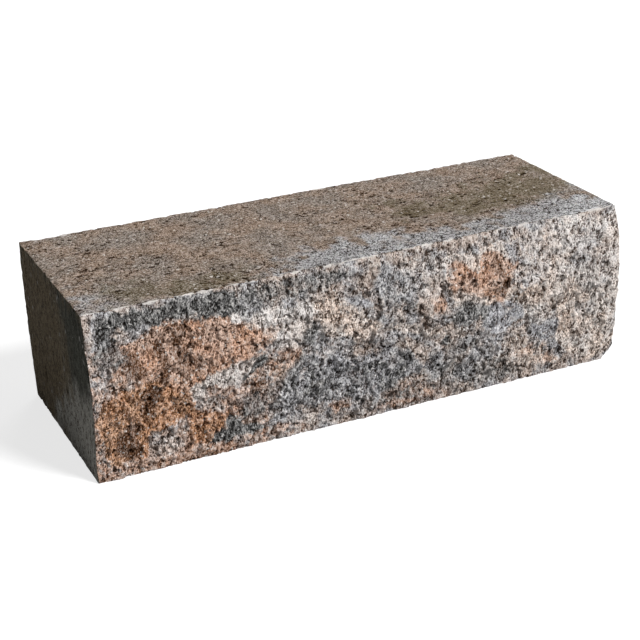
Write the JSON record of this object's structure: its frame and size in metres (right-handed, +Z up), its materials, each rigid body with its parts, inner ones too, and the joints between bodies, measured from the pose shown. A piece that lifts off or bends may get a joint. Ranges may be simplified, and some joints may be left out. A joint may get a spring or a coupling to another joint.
{
  "type": "retaining wall block",
  "caption": "Solid coloured concrete wall block with flat moulded bed, top and ends and rough split front and back faces, laid dry in courses to hold back soil.",
  "frame": {"origin": "middle of the bed, the flat underside, on the floor", "axes": "+X along the wall to the right as seen from the front, +Y into the bank, +Z up; the front split face looks towards -Y"},
  "size_m": [0.4, 0.1709, 0.12],
  "materials": {
    "concrete": "matt split concrete, blended charcoal, rust and pale grey, open grain on the moulded faces"
  },
  "bodies": {
    "root": {"wall_block": "concrete"}
  },
  "joints": []
}
